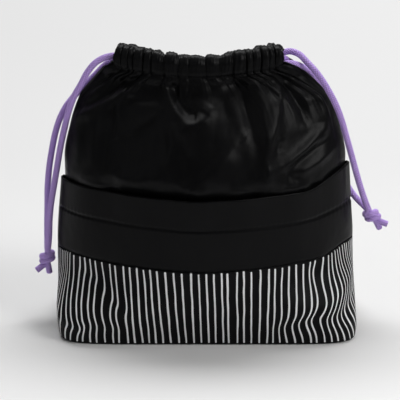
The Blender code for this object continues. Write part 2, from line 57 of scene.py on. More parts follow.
# Half widths at those heights, and how far each wall reaches from the plane of the side seams
BASE_HALF, BASE_REACH = 0.117, 0.058
FOOT_HALF, FOOT_REACH, FOOT_SQUARENESS = 0.1195, 0.0615, 7.6
BELLY_HALF, BELLY_REACH = 0.121, 0.070
POCKET_HALF, POCKET_REACH = 0.1163, 0.0715
BILLOW_HALF, BILLOW_REACH = 0.1130, 0.0655
SHOULDER_HALF, SHOULDER_REACH = 0.1073, 0.055
COLLAR_HALF, COLLAR_REACH = 0.0985, 0.040
NECK_HALF, NECK_REACH = 0.075, 0.026
MOUTH_HALF, MOUTH_REACH = 0.066, 0.0235
SWELL_HEIGHT = 0.3
SWELL = 0.6
FOOT_LEAN = 0.0022
MOUTH_LEAN = -0.0050
FRONT_DIP = 0.0045
BACK_DIP = 0.0125
# At the right corner the pocket's edge and the foot's seam are drawn up: how far, and between which places
CORNER_RISE, CORNER_START, CORNER_END = 0.0120, 0.078, 0.117
SEAM_RISE, SEAM_RISE_START, SEAM_RISE_END = 0.0075, 0.088, 0.119
BASE_SQUARENESS = 7.0
BODY_SQUARENESS = 1.58
BOW_SQUARENESS = 1.8

# Cloth, casing and gathers
CLOTH = 0.0007
FLOOR_ROOM = 0.0001
SEAM_GAP = 0.0002
CASING_DEPTH = 0.0087
MOUTH_GAP = 0.0093
POCKET_ROOM = 0.012
HEM_FOLD = 0.0019
SEAM_TUCK = 0.003
# Cloth turned in behind a wall's side edges: how deep and how far along the wall, row by row
TURNED_EDGE = (0.0004, -0.0003), (0.0012, -0.0001), (0.0015, 0.0030)
GATHERS = 17
GATHER_COLUMNS = 12
GATHER_HEIGHT = 0.0031
BASE_THICKNESS = 0.0012
FLAT_WIDTH = 0.320
FOOT_FLAT = 0.336
STRIPE_PITCH = 0.0058
FINE = 1441

# Drawcords
CORD = 0.005
BRAID_STRANDS = 8
BRAID_STEP = 0.0021
BRAID_RELIEF = 0.12
BRAID_DARK, BRAID_LIGHT = (0.100, 0.042, 0.230), (0.62, 0.42, 0.94)
# Routes of the free runs, from the casing down to the knot
LEFT_CORD_FRONT = (
    (-0.0620, -0.0084, 0.2202), (-0.0705, -0.0051, 0.2209), (-0.0770, -0.0058, 0.2200),
    (-0.0850, -0.0060, 0.2160), (-0.0918, -0.0060, 0.2085), (-0.0974, -0.0062, 0.1985),
    (-0.1030, -0.0060, 0.1890), (-0.1076, -0.0058, 0.1775), (-0.1118, -0.0056, 0.1622),
    (-0.1156, -0.0054, 0.1464), (-0.1187, -0.0050, 0.1305), (-0.1219, -0.0046, 0.1145),
    (-0.1250, -0.0040, 0.0982), (-0.1266, -0.0034, 0.0854), (-0.1276, -0.0031, 0.0704),
    (-0.1293, -0.0030, 0.0576),
)
LEFT_CORD_BACK = (
    (-0.0620, 0.0084, 0.2138), (-0.0705, 0.0051, 0.2145), (-0.0756, 0.0058, 0.2136),
    (-0.0806, 0.0074, 0.2098), (-0.0862, 0.0084, 0.2040), (-0.0918, 0.0084, 0.1984),
    (-0.0982, 0.0080, 0.1922), (-0.1044, 0.0074, 0.1858), (-0.1095, 0.0068, 0.1799),
    (-0.1152, 0.0060, 0.1704), (-0.1197, 0.0054, 0.1585), (-0.1233, 0.0050, 0.1436),
    (-0.1259, 0.0046, 0.1298), (-0.1281, 0.0040, 0.1114), (-0.1288, 0.0035, 0.0950),
    (-0.1296, 0.0032, 0.0780), (-0.1302, 0.0030, 0.0576),
)
RIGHT_CORD_FRONT = (
    (0.0535, -0.0078, 0.2143), (0.0605, -0.0053, 0.2142), (0.0670, -0.0050, 0.2148),
    (0.0735, -0.0006, 0.2124), (0.0800, 0.0054, 0.2078), (0.0865, 0.0110, 0.2006),
    (0.0920, 0.0160, 0.1910), (0.0968, 0.0200, 0.1800), (0.1005, 0.0225, 0.1665), (0.1040, 0.0235, 0.1520),
    (0.1075, 0.0225, 0.1375), (0.1115, 0.0195, 0.1230), (0.1165, 0.0150, 0.1100), (0.1230, 0.0095, 0.1010),
    (0.1324, 0.0031, 0.0926),
)
RIGHT_CORD_BACK = (
    (0.0535, 0.0078, 0.2200), (0.0605, 0.0051, 0.2211), (0.0668, 0.0042, 0.2226), (0.0735, 0.0014, 0.2210),
    (0.0800, -0.0030, 0.2154), (0.0865, -0.0072, 0.2090), (0.0922, -0.0096, 0.2016),
    (0.0974, -0.0104, 0.1932), (0.1034, -0.0100, 0.1818), (0.1080, -0.0092, 0.1700),
    (0.1120, -0.0084, 0.1572), (0.1160, -0.0074, 0.1442), (0.1201, -0.0064, 0.1305),
    (0.1244, -0.0052, 0.1165), (0.1284, -0.0042, 0.1050), (0.1331, -0.0030, 0.0930),
)

# Where each knot's two cut tails point
LEFT_TAILS = ((-0.80, -0.25, -0.55), (0.10, 0.30, -1.0))
RIGHT_TAILS = ((0.93, -0.20, -0.30), (0.42, 0.35, -0.84))

# Folds of the front wall: crest as (x, height), half widths on its left and right, rise
FRONT_FOLDS = (
    # the swag under the casing, left of the middle, with the hollow that it hangs round
    (((-0.0309, 0.2089), (-0.0277, 0.1991), (-0.0206, 0.1860), (-0.0137, 0.1771)), 0.0045, 0.0030, 0.0040),
    (((-0.0137, 0.1771), (-0.0061, 0.1783), (0.0023, 0.1836)), 0.0040, 0.0045, 0.0034),
    (((-0.0249, 0.2033), (-0.0190, 0.1900), (-0.0120, 0.1835)), 0.0030, 0.0030, -0.0030),
    (((-0.0135, 0.1842), (-0.0060, 0.1838)), 0.0060, 0.0055, -0.0030),
    # the long soft folds under it
    (((-0.0307, 0.1930), (-0.0255, 0.1760), (-0.0237, 0.1615), (-0.0270, 0.1492)), 0.0060, 0.0050, 0.0024),
    (((-0.0190, 0.1719), (-0.0159, 0.1590), (-0.0113, 0.1471)), 0.0060, 0.0060, 0.0018),
    (((0.0235, 0.1601), (0.0114, 0.1499), (-0.0046, 0.1350)), 0.0050, 0.0110, 0.0026),
    (((0.0054, 0.1923), (0.0008, 0.1850)), 0.0060, 0.0060, 0.0020),
    (((0.0130, 0.1960), (0.0200, 0.1760)), 0.0050, 0.0050, -0.0018),
    # the two long diagonals that run to the left shoulder
    (((-0.0426, 0.2101), (-0.0659, 0.1937), (-0.0913, 0.1787), (-0.1045, 0.1718)), 0.0030, 0.0060, 0.0036),
    (((-0.0473, 0.2111), (-0.0709, 0.1976), (-0.0969, 0.1806)), 0.0026, 0.0026, -0.0026),
    (((-0.0627, 0.2083), (-0.0799, 0.1978), (-0.0935, 0.1874)), 0.0030, 0.0045, 0.0024),
    # the crumple under them
    (((-0.0674, 0.1894), (-0.0664, 0.1791), (-0.0677, 0.1644)), 0.0026, 0.0040, 0.0014),
    (((-0.0717, 0.1880), (-0.0712, 0.1791), (-0.0720, 0.1660)), 0.0026, 0.0020, -0.0010),
    (((-0.0653, 0.1647), (-0.0482, 0.1747), (-0.0337, 0.1857)), 0.0034, 0.0065, 0.0020),
    (((-0.0640, 0.1925), (-0.0500, 0.1915), (-0.0370, 0.1935)), 0.0030, 0.0026, -0.0015),
    (((-0.0626, 0.1965), (-0.0420, 0.1985)), 0.0030, 0.0030, 0.0012),
    # the soft folds of the left side
    (((-0.0824, 0.1744), (-0.0874, 0.1332)), 0.0060, 0.0040, 0.0017),
    (((-0.0757, 0.1677), (-0.0793, 0.1315)), 0.0030, 0.0040, -0.0014),
    (((-0.0970, 0.1640), (-0.1010, 0.1330)), 0.0050, 0.0050, 0.0012),
    # the broad fold right of the middle and the valley beside it
    (((0.0347, 0.2100), (0.0394, 0.2026), (0.0440, 0.1848), (0.0460, 0.1631), (0.0465, 0.1477)),
     0.0040, 0.0110, 0.0042),
    (((0.0583, 0.2050), (0.0565, 0.1907), (0.0530, 0.1740), (0.0475, 0.1570)), 0.0070, 0.0035, 0.0026),
    (((0.0235, 0.2090), (0.0285, 0.2004), (0.0325, 0.1856), (0.0370, 0.1700)), 0.0055, 0.0030, -0.0042),
    (((0.0465, 0.1477), (0.0446, 0.1260)), 0.0060, 0.0090, 0.0026),
    # the deep fold of the right shoulder and the ridge that hangs over it
    (((0.0540, 0.2091), (0.0668, 0.1965), (0.0760, 0.1825), (0.0775, 0.1750)), 0.0034, 0.0040, -0.0044),
    (((0.0667, 0.2092), (0.0796, 0.2028), (0.0890, 0.1882), (0.0940, 0.1724), (0.0922, 0.1605)),
     0.0050, 0.0060, 0.0030),
    (((0.0903, 0.1654), (0.0782, 0.1548), (0.0593, 0.1435)), 0.0036, 0.0040, 0.0026),
    (((0.0950, 0.1580), (0.0790, 0.1480), (0.0640, 0.1400)), 0.0028, 0.0028, -0.0020),
    (((0.1009, 0.1500), (0.0834, 0.1410), (0.0700, 0.1360)), 0.0040, 0.0040, 0.0022),
    (((0.0606, 0.1375), (0.0736, 0.1320)), 0.0060, 0.0060, -0.0030),
    (((0.0575, 0.1655), (0.0553, 0.1535)), 0.0035, 0.0035, -0.0020),
    # the lobes that hang over the pocket's edge
    (((-0.0720, 0.1360), (-0.0520, 0.1310), (-0.0400, 0.1350)), 0.0080, 0.0080, 0.0034),
    (((-0.0200, 0.1330), (-0.0045, 0.1265), (0.0050, 0.1290)), 0.0080, 0.0070, 0.0034),
    (((0.0150, 0.1300), (0.0258, 0.1265), (0.0360, 0.1300)), 0.0080, 0.0070, 0.0030),
    # the left side and the middle, which fill the pocket's mouth
    (((-0.1030, 0.1290), (-0.0840, 0.1250), (-0.0700, 0.1230)), 0.0160, 0.0100, 0.0050),
    (((-0.0560, 0.1260), (0.0000, 0.1230), (0.0420, 0.1255)), 0.0190, 0.0120, 0.0056),
    # the right side, which fills it but for the corner
    (((0.0460, 0.1265), (0.0640, 0.1245), (0.0850, 0.1270)), 0.0160, 0.0110, 0.0070),
)


# The back's folds are the front's, mirrored and shallower
BACK_FOLD_SHARE = 0.62
BACK_FOLDS = [
    (tuple((-x, height) for x, height in crest), first, second, BACK_FOLD_SHARE * lift)
    for crest, first, second, lift in FRONT_FOLDS
]


def between_stations(t, step, first, first_slope, last, last_slope):
    """The cubic curve between two stations, at a share t of the step."""
    return (
        (2 * t**3 - 3 * t**2 + 1) * first
        + (t**3 - 2 * t**2 + t) * step * first_slope
        + (3 * t**2 - 2 * t**3) * last
        + (t**3 - t**2) * step * last_slope
    )


def hump(away, width, power=2):
    """1 on a line, fading to 0 on both sides over about this width."""
    return np.exp(-(np.abs(away / width) ** power))


def running(steps):
    """The distance run at the start and after each of these steps."""
    return np.concatenate([[0.0], np.cumsum(steps)])


def strides(points):
    """The distance from each point to the next."""
    return np.linalg.norm(np.diff(points, axis=0), axis=1)


def smooth_value(heights, values, height):
    """The value at this height of a curve through the values at these heights that never overshoots them."""
    heights, values = np.array(heights), np.array(values)
    rates = np.diff(values) / np.diff(heights)
    slopes = np.concatenate([rates[:1], np.zeros(len(rates) - 1), rates[-1:]])
    for k in range(1, len(rates)):
        if rates[k - 1] * rates[k] > 0:
            slopes[k] = 2 * rates[k - 1] * rates[k] / (rates[k - 1] + rates[k])
    held = np.clip(height, heights[0], heights[-1])
    i = np.clip(np.searchsorted(heights, held, side="right") - 1, 0, len(rates) - 1)
    step = heights[i + 1] - heights[i]
    t = (held - heights[i]) / step
    return between_stations(t, step, values[i], slopes[i], values[i + 1], slopes[i + 1])


def ramp(value, start, end):
    """0 before start, 1 after end, smooth between them."""
    t = np.clip((value - start) / (end - start), 0.0, 1.0)
    return t * t * (3 - 2 * t)


def lean(height):
    """How far the bag leans to the right at this height."""
    heights = 0.0, SEAM_HEIGHT, COLLAR_HEIGHT, STITCH_HEIGHT, CASING_LINE
    return smooth_value(heights, (FOOT_LEAN, 0.0, 0.0, MOUTH_LEAN * 0.6, MOUTH_LEAN), height)


def outer_size(height, base, belly, pocket):
    """A size of the outer layer, from its sizes at the floor, the seam and the pocket's edge."""
    heights = 0.0, SEAM_HEIGHT * SWELL_HEIGHT, SEAM_HEIGHT, POCKET_HEIGHT
    return smooth_value(heights, (base, base + (belly - base) * SWELL, belly, pocket), height)


def foot_size(height, foot, belly, pocket):
    """As outer_size, for the striped foot: it is fullest a little above the floor."""
    heights = 0.0, 0.009, 0.026, SEAM_HEIGHT, POCKET_HEIGHT
    sizes = foot, foot + 0.0016, foot + 0.32 * (belly - foot) + 0.0020, belly, pocket
    return smooth_value(heights, sizes, height)


def upper_half(height):
    """Half width of a wall above the pocket's edge."""
    heights = POCKET_HEIGHT, BILLOW_HEIGHT, SHOULDER_HEIGHT, COLLAR_HEIGHT, STITCH_HEIGHT, CASING_LINE
    halves = BILLOW_HALF, BILLOW_HALF, SHOULDER_HALF, COLLAR_HALF, NECK_HALF, MOUTH_HALF
    return smooth_value(heights, halves, height)


def upper_reach(height, edge_reach):
    """How far a wall reaches outwards above the pocket's edge, from its reach there."""
    heights = POCKET_HEIGHT, BILLOW_HEIGHT, SHOULDER_HEIGHT, COLLAR_HEIGHT, STITCH_HEIGHT, RIM_HEIGHT
    reaches = edge_reach, BILLOW_REACH, SHOULDER_REACH, COLLAR_REACH, NECK_REACH, MOUTH_REACH
    return smooth_value(heights, reaches, height)


def plan_curve(height, half_width, reach, shares, end_gap, side=1, squareness=BASE_SQUARENESS):
    """Points and outward normals of one wall at this height, at shares of its length, and that length."""
    angles = np.linspace(-math.pi / 2, math.pi / 2, FINE)
    n = BODY_SQUARENESS + (squareness - BODY_SQUARENESS) * (1 - ramp(height, 0.0, SEAM_HEIGHT)) ** 2
    radius = (np.abs(np.sin(angles)) ** n + np.abs(np.cos(angles)) ** n) ** (-1 / n)
    bow = ramp(height, COLLAR_HEIGHT, STITCH_HEIGHT)
    turn = angles / (math.pi / 2)
    across = (1 - bow) * radius * np.sin(angles) + bow * turn
    forward = (1 - bow) * radius * np.cos(angles) + bow * (1 - np.abs(turn) ** BOW_SQUARENESS)
    x = side * lean(height) + half_width * across
    y = -(end_gap + (reach - end_gap) * forward)
    lengths = running(np.hypot(np.diff(x), np.diff(y)))
    wanted = shares * lengths[-1]
    tx = np.interp(wanted, lengths, np.gradient(x, lengths))
    ty = np.interp(wanted, lengths, np.gradient(y, lengths))
    size = np.hypot(tx, ty)
    normals = np.column_stack([ty / size, -tx / size])
    points = np.column_stack([np.interp(wanted, lengths, x), np.interp(wanted, lengths, y)])
    return points, normals, lengths[-1]


def outer_curve(height, shares, end_gap, side=1, tuck=0.0, room=0.0):
    """plan_curve of the outer layer, drawn in at its ends by tuck and in its middle by room."""
    half = outer_size(height, BASE_HALF, BELLY_HALF, POCKET_HALF) - tuck
    reach = outer_size(height, BASE_REACH, BELLY_REACH, POCKET_REACH) - room
    return plan_curve(height, half, reach, shares, end_gap, side)


def from_end(shares):
    """How far each share lies from the nearer end of its row."""
    return np.minimum(shares, 1 - shares)


def smooth_path(stations, spacing, dims=3):
    """Points every spacing along a smooth curve through stations, measured on their first dims values."""
    points = np.array(stations, dtype=float)
    chord = running(strides(points[:, :dims]))
    slopes = np.gradient(points, chord, axis=0)
    fine = []
    for i in range(len(points) - 1):
        step = chord[i + 1] - chord[i]
        for t in np.linspace(0.0, 1.0, 24, endpoint=False):
            fine.append(between_stations(t, step, points[i], slopes[i], points[i + 1], slopes[i + 1]))
    fine = np.array(fine + [points[-1]])
    length = running(strides(fine[:, :dims]))
    wanted = np.linspace(0.0, length[-1], max(2, round(length[-1] / spacing)) + 1)
    return np.column_stack([np.interp(wanted, length, fine[:, k]) for k in range(points.shape[1])])


def new_piece(name):
    """Names the object that an operator has just added, and its mesh."""
    piece = bpy.context.object
    piece.name = name
    piece.data.name = name
    return piece


def select(*pieces):
    """Selects these pieces only, the first as the active one."""
    bpy.ops.object.select_all(action="DESELECT")
    for piece in pieces:
        piece.select_set(True)
        bpy.context.view_layer.objects.active = pieces[0]


def apply_modifiers(piece):
    """Bakes the piece's modifiers into its mesh."""
    select(piece)
    for modifier in list(piece.modifiers):
        bpy.ops.object.modifier_apply(modifier=modifier.name)


def bent_grid(name, points, flat):
    """A grid bent over rows of points. flat gives each point's place on the flat cloth, for its UV map."""
    rows, columns = points.shape[0] - 1, points.shape[1] - 1
    select()
    bpy.ops.mesh.primitive_grid_add(x_subdivisions=columns, y_subdivisions=rows, size=1)
    piece = new_piece(name)
    mesh = piece.data
    mesh.vertices.foreach_set("co", points.reshape(-1).astype(np.float32))
    corners = np.zeros(len(mesh.loops), dtype=np.int32)
    mesh.loops.foreach_get("vertex_index", corners)
    mesh.uv_layers.active.data.foreach_set("uv", flat.reshape(-1, 2)[corners].reshape(-1).astype(np.float32))
    mesh.update()
    mesh.shade_smooth()
    return piece


def thicken(piece):
    """Gives the cloth its thickness, inwards, and keeps it above the floor."""
    wall = piece.modifiers.new("Cloth thickness", "SOLIDIFY")
    wall.thickness = CLOTH
    wall.offset = -1.0
    wall.use_even_offset = False
    apply_modifiers(piece)
    for vertex in piece.data.vertices:
        vertex.co.z = max(vertex.co.z, FLOOR_ROOM)


def dress(piece, finish, slot, *nodes):
    """The piece takes its finish and stands for these nodes of the frame."""
    piece.data.materials.clear()
    piece.data.materials.append(finish)
    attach(piece, "root")
    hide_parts(*nodes)


def mouth_dip(x, height, side):
    """How far the mouth dips along a row, and with it the cloth below, down to the shoulder."""
    across = 2 * (x - x[0]) / (x[-1] - x[0]) - 1
    across = np.clip(np.abs(across), 0.0, 1.0)
    deepest, roundness = (FRONT_DIP, 2.0) if side > 0 else (BACK_DIP, 1.3)
    return deepest * (1 - across**2) ** roundness * ramp(height, SHOULDER_HEIGHT, STITCH_HEIGHT)


def drawn_in(shares, height):
    """Lift of the cloth at the casing's two ends, where the cords draw it together about their own level."""
    end = hump(from_end(shares), 0.022)
    cord_level = CASING_LINE + 0.010
    below = ramp(height, COLLAR_HEIGHT, CASING_LINE) * (1 - ramp(height, CASING_LINE, cord_level))
    return end * (0.0062 * below - 0.0030 * ramp(height, cord_level - 0.003, RIM_HEIGHT))


def corner_lift(x, height):
    """How far the foot's seam is drawn up at the bag's right corner, and the cloth beside it with it."""
    if height <= SEAM_HEIGHT:
        near = (max(height, 0.0) / SEAM_HEIGHT) ** 1.6
    else:
        near = 1 - ramp(height, SEAM_HEIGHT, 0.096)
    return SEAM_RISE * near * ramp(x, SEAM_RISE_START, SEAM_RISE_END)


def gather_edges(side):
    """Where the pinches are, as shares of the casing: close at its ends, wide apart in its middle."""
    k = np.arange(GATHERS)
    widths = 0.66 + 0.72 * hump(k - 8.0, 3.6)
    widths *= 1 + 0.24 * np.sin(2.4 * k + 0.9 * side) + 0.12 * np.sin(5.1 * k + side)
    return running(widths) / widths.sum()


def gather_lift(shares, below, side):
    """Rise and sideways slide of the gathered cloth, as shares of a whole puff.

    below is how far the row lies below the stitch line, negative in the casing.
    """
    slant = np.clip(below, -0.02, 0.03)
    edges = gather_edges(side)
    turns = np.interp(shares, edges, np.arange(GATHERS + 1))
    number = np.clip(np.floor(turns), 0, GATHERS - 1)
    turns = turns + slant * 14 * np.sin(1.9 * number + side) * np.sin(math.pi * (turns - number))
    middle = hump(shares - 0.5, 0.19)
    tall = (1.14 - 0.50 * middle) * (0.80 + 0.20 * np.sin(2.3 * number + 0.6))
    reach = 0.008 + 0.017 * (0.5 + 0.5 * np.sin(1.7 * number + 0.4 + side))
    fade = hump(np.maximum(below, 0.0), reach, 1.3)
    sharpness = 0.60 + 0.35 * middle + 1.0 * ramp(below, 0.0, 0.018)
    puff = np.abs(np.sin(math.pi * turns)) ** sharpness * tall
    fine = 0.11 * np.sin(2 * math.pi * (shares * 61 + 0.6 * np.sin(7 * shares * math.pi) + slant * 30))
    slide = -0.34 * np.sin(2 * math.pi * turns) * tall
    return (puff + fine * (1 - 0.6 * middle)) * fade, slide * fade


def creases(x, height, seed):
    """Small soft crumples that run mostly downwards, as a rise in metres."""
    values = []
    for along, up in zip(x, np.broadcast_to(height, x.shape)):
        place = Vector((along * 55 + 0.4 * seed, up * 26, 3.1 * seed))
        values.append(noise.fractal(place, 0.9, 2.1, 3) + 0.5 * noise.noise(place * 0.4))
    return 0.00075 * np.array(values)


def fold_rise(x, height, folds):
    """How far the folds lift the cloth at these places of a wall."""
    rise = np.zeros_like(x)
    for crest, first, second, lift in folds:
        best = np.full_like(x, np.inf)
        width = np.full_like(x, first)
        along = np.zeros_like(x)
        steps = [math.hypot(x1 - x0, h1 - h0) for (x0, h0), (x1, h1) in zip(crest[:-1], crest[1:])]
        done = 0.0
        for (x0, h0), (x1, h1), step in zip(crest[:-1], crest[1:], steps):
            dx, dh = x1 - x0, h1 - h0
            t = np.clip(((x - x0) * dx + (height - h0) * dh) / (dx * dx + dh * dh), 0.0, 1.0)
            away = np.hypot(x - x0 - t * dx, height - h0 - t * dh)
            beyond = dx * (height - h0) - dh * (x - x0) > 0
            width = np.where(away < best, np.where(beyond, second, first), width)
            along = np.where(away < best, (done + t * step) / sum(steps), along)
            best = np.minimum(best, away)
            done += step
        first_end = 1.0 if crest[0][1] > COLLAR_HEIGHT + 0.014 else 0.45
        taper = (first_end + (1 - first_end) * ramp(along, 0.0, 0.3)) * (1 - 0.55 * ramp(along, 0.7, 1.0))
        rise += lift * taper * hump(best, width, 1.7)
    return rise


def row_of(curve, normals, height, rise, slide=0.0):
    """One row of points: the plan curve moved outwards by rise and sideways by slide."""
    tangents = np.column_stack([-normals[:, 1], normals[:, 0]])
    flat = curve + normals * np.reshape(rise, (-1, 1)) + tangents * np.reshape(slide, (-1, 1))
    return np.column_stack([flat, np.broadcast_to(height, len(flat))])


def wall_rows(side, columns, folds, edge_reach):
    """The rows of a wall from the pocket's edge up to the stitch line, then round the casing."""
    shares = np.linspace(0.0, 1.0, columns + 1)
    seam_fade = ramp(from_end(shares), 0.0, 0.05)
    rows = []
    for height in np.linspace(POCKET_HEIGHT, CASING_LINE, 82):
        bow_gap = SEAM_GAP + CLOTH * ramp(height, COLLAR_HEIGHT, STITCH_HEIGHT)
        end_gap = bow_gap + (MOUTH_GAP - bow_gap) * ramp(height, STITCH_HEIGHT - 0.004, STITCH_HEIGHT + 0.004)
        curve, normals, _ = plan_curve(
            height, upper_half(height), upper_reach(height, edge_reach), shares, end_gap, side
        )
        below = CASING_LINE - height
        puff, slide = gather_lift(shares, below, side)
        hem_fade = 1.0 if side > 0 else ramp(height, POCKET_HEIGHT, POCKET_HEIGHT + 0.008)
        folded = fold_rise(curve[:, 0], height, folds)
        folded = folded * (1 - 0.55 * ramp(height, CASING_LINE - 0.006, CASING_LINE))
        rise = GATHER_HEIGHT * puff + seam_fade * hem_fade * (folded + creases(curve[:, 0], height, side))
        groove = -0.0011 * hump(below, 0.0013)
        level = height - mouth_dip(curve[:, 0], height, side) + drawn_in(shares, height)
        rows.append(row_of(curve, normals, level, rise + groove, GATHER_HEIGHT * slide))
    # height above the stitch line, how far inwards, share of the puff that shows there
    depth = CASING_DEPTH
    tall = RIM_HEIGHT - CASING_LINE
    section = (
        (0.0000, 0.0011, 0.80), (0.0022, -0.0002, 0.95), (0.0070, -0.0007, 1.00), (0.0120, -0.0006, 1.00),
        (0.0155, 0.0005, 0.85), (tall - 0.0009, depth * 0.22, 0.45), (tall, depth * 0.5, 0.00),
        (tall - 0.0009, depth * 0.78, -0.45), (0.0155, depth, -0.85), (0.0100, depth + 0.0003, -1.00),
        (0.0040, depth, -1.00), (0.0000, depth - 0.0008, -0.80), (-0.0018, depth * 0.5, -0.30),
        (-0.0006, 0.0022, 0.45),
    )
    for rise_above, inward, shown in smooth_path(section, 0.0011, dims=2)[1:]:
        height = CASING_LINE + rise_above
        plan_height = max(height, STITCH_HEIGHT + 0.004)
        half, reach = upper_half(height), upper_reach(height, NECK_REACH)
        curve, normals, _ = plan_curve(plan_height, half, reach, shares, MOUTH_GAP, side)
        puff, slide = gather_lift(shares, -max(rise_above, 0.0), side)
        drop = 0.0034 * (1 - np.clip(puff, 0.0, 1.0)) * ramp(rise_above, tall * 0.4, tall)
        level = height - drop - mouth_dip(curve[:, 0], height, side) + drawn_in(shares, height)
        rise = GATHER_HEIGHT * puff * shown - inward
        rows.append(row_of(curve, normals, level, rise, GATHER_HEIGHT * slide))
    return rows


def turned_edges(rows):
    """Adds the cloth turned in behind each end of the rows."""
    finished = []
    for row in rows:
        left, right = [], []
        for end, inner, made in ((row[0], row[1], left), (row[-1], row[-2], right)):
            back = inner - end
            back[2] = 0.0
            back /= max(np.linalg.norm(back), 1e-9)
            inward = np.array([back[1], -back[0], 0.0])
            if made is left:
                inward = -inward
            made += [end + inward * depth + back * length for depth, length in TURNED_EDGE]
        finished.append(np.vstack([left[::-1], row, right]))
    return finished


def half_turn(points):
    """Turns the points round to the back of the bag."""
    return points * np.array([-1.0, -1.0, 1.0])


def cloth_flat(rows, columns_width=FLAT_WIDTH):
    """Each point's place on the flat cloth: across by share, up by the mean length between the rows."""
    up = running([np.linalg.norm(b - a, axis=1).mean() for a, b in zip(rows[:-1], rows[1:])])
    across = np.linspace(-columns_width / 2, columns_width / 2, len(rows[0]))
    flat = np.zeros((len(rows), len(rows[0]), 2))
    flat[:, :, 0] = across[None, :]
    flat[:, :, 1] = up[:, None]
    return flat, float(up[-1])


def sewn(name, points, flat, finish, slot, replaced):
    """A finished cloth over rows of points, in place of a node of the frame."""
    piece = bent_grid(name, points, flat)
    thicken(piece)
    dress(piece, finish, slot, replaced)
    return piece


def front_wall(finish):
    """The front wall, from the base behind the pocket up and round its casing."""
    columns = GATHERS * GATHER_COLUMNS
    shares = np.linspace(0.0, 1.0, columns + 1)
    rows = []
    for height in np.linspace(BASE_THICKNESS + 0.0003, POCKET_HEIGHT - 0.006, 14):
        room = 0.0018 + POCKET_ROOM * (height / POCKET_HEIGHT) ** 3
        curve, normals, _ = outer_curve(height, shares, SEAM_GAP, 1, SEAM_TUCK, room)
        ease = ramp(from_end(shares), 0.0, 0.05) * ramp(height, 0.096, POCKET_HEIGHT)
        lobes = ease * fold_rise(curve[:, 0], max(height, POCKET_HEIGHT - 0.004), FRONT_FOLDS)
        rows.append(row_of(curve, normals, height, lobes))
    rows += wall_rows(1, columns, FRONT_FOLDS, POCKET_REACH - POCKET_ROOM - 0.0016)
    rows = turned_edges(rows)
    flat, length = cloth_flat(rows)
    piece = sewn("front_wall", np.array(rows), flat, finish, "black_satin", "front_panel")


def back_wall(finish):
    """The back wall, from the foot's seam up and round its casing."""
    columns = GATHERS * GATHER_COLUMNS
    shares = np.linspace(0.0, 1.0, columns + 1)
    rows = []
    for height in np.linspace(SEAM_HEIGHT + 0.0002, POCKET_HEIGHT - 0.002, 30):
        turn = 0.0010 * hump(height - SEAM_HEIGHT, 0.0012)
        curve, normals, _ = outer_curve(height, shares, SEAM_GAP, -1)
        rows.append(row_of(curve, normals, height + corner_lift(-curve[:, 0], height), -turn))
    rows += wall_rows(-1, columns, BACK_FOLDS, POCKET_REACH)
    rows = turned_edges(rows)
    flat, length = cloth_flat(rows)
    piece = sewn("back_wall", half_turn(np.array(rows)), flat, finish, "black_satin", "back_panel")


def pocket_band(finish):
    """The pocket's upper band. Its edge is turned in and stitched, and stands up at the right corner."""
    columns = 260
    shares = np.linspace(0.0, 1.0, columns + 1)
    hem_line = POCKET_HEIGHT - HEM_HEIGHT
    ease = ramp(from_end(shares), 0.0, 0.04)
    full = 2 * math.pi
    waves = 0.0007 * np.sin(full * (2.6 * shares + 0.15)) + 0.0005 * np.sin(full * (6.3 * shares + 0.4))
    pucker = np.sin(full * (58 * shares + 0.5 * np.sin(9 * shares)))
    rows = []

    def add_row(height, inward, stitched):
        curve, normals, _ = outer_curve(height, shares, 2 * SEAM_GAP)
        loose = ramp(height, SEAM_HEIGHT, POCKET_HEIGHT)
        rise = ease * waves * loose - inward
        if stitched:
            away = height - hem_line
            rise = rise - 0.0010 * hump(away, 0.0009)
            rise = rise + 0.00010 * pucker * hump(away, 0.0040)
            rise = rise - 0.0006 * ease * hump(height - SEAM_HEIGHT, 0.0011)
            rise = rise + 0.5 * ease * (1 - 0.6 * loose) * creases(curve[:, 0], height, 5)
        corner = CORNER_RISE * loose**2 * ramp(curve[:, 0], CORNER_START, CORNER_END)
        rows.append(row_of(curve, normals, height + corner + corner_lift(curve[:, 0], height), rise))

    for height in np.linspace(SEAM_HEIGHT + 0.0001, POCKET_HEIGHT - 0.0010, 56):
        add_row(height, 0.0, True)
    for angle in np.linspace(0.0, math.pi, 9)[1:]:
        inward = HEM_FOLD / 2 * (1 - math.cos(angle))
        add_row(POCKET_HEIGHT - 0.0010 + 0.0010 * math.sin(angle), inward, False)
    for height in np.linspace(POCKET_HEIGHT - 0.0025, hem_line, 10):
        add_row(height, HEM_FOLD, False)
    rows = turned_edges(rows)
    flat, length = cloth_flat(rows)
    piece = sewn("pocket_band_cloth", np.array(rows), flat, finish, "black_satin", "pocket_band")


# Where stripes meet the seam and the floor, across the front of the foot
STRIPE_LINES = (
    (-0.1089, -0.1114), (-0.1049, -0.1065), (-0.1002, -0.1009), (-0.0958, -0.0958), (-0.0919, -0.0903),
    (-0.0822, -0.0795), (-0.0725, -0.0694), (-0.0658, -0.0626), (-0.0558, -0.0517), (-0.0447, -0.0404),
    (-0.0355, -0.0308), (-0.0231, -0.0191), (-0.0090, -0.0068), (0.0022, 0.0043), (0.0142, 0.0159),
    (0.0242, 0.0253), (0.0369, 0.0375), (0.0520, 0.0508), (0.0628, 0.0621), (0.0740, 0.0739),
    (0.0831, 0.0833), (0.0887, 0.0894), (0.0940, 0.0948), (0.0989, 0.1012), (0.1014, 0.1059),
    (0.1043, 0.1121), (0.1069, 0.1180),
)

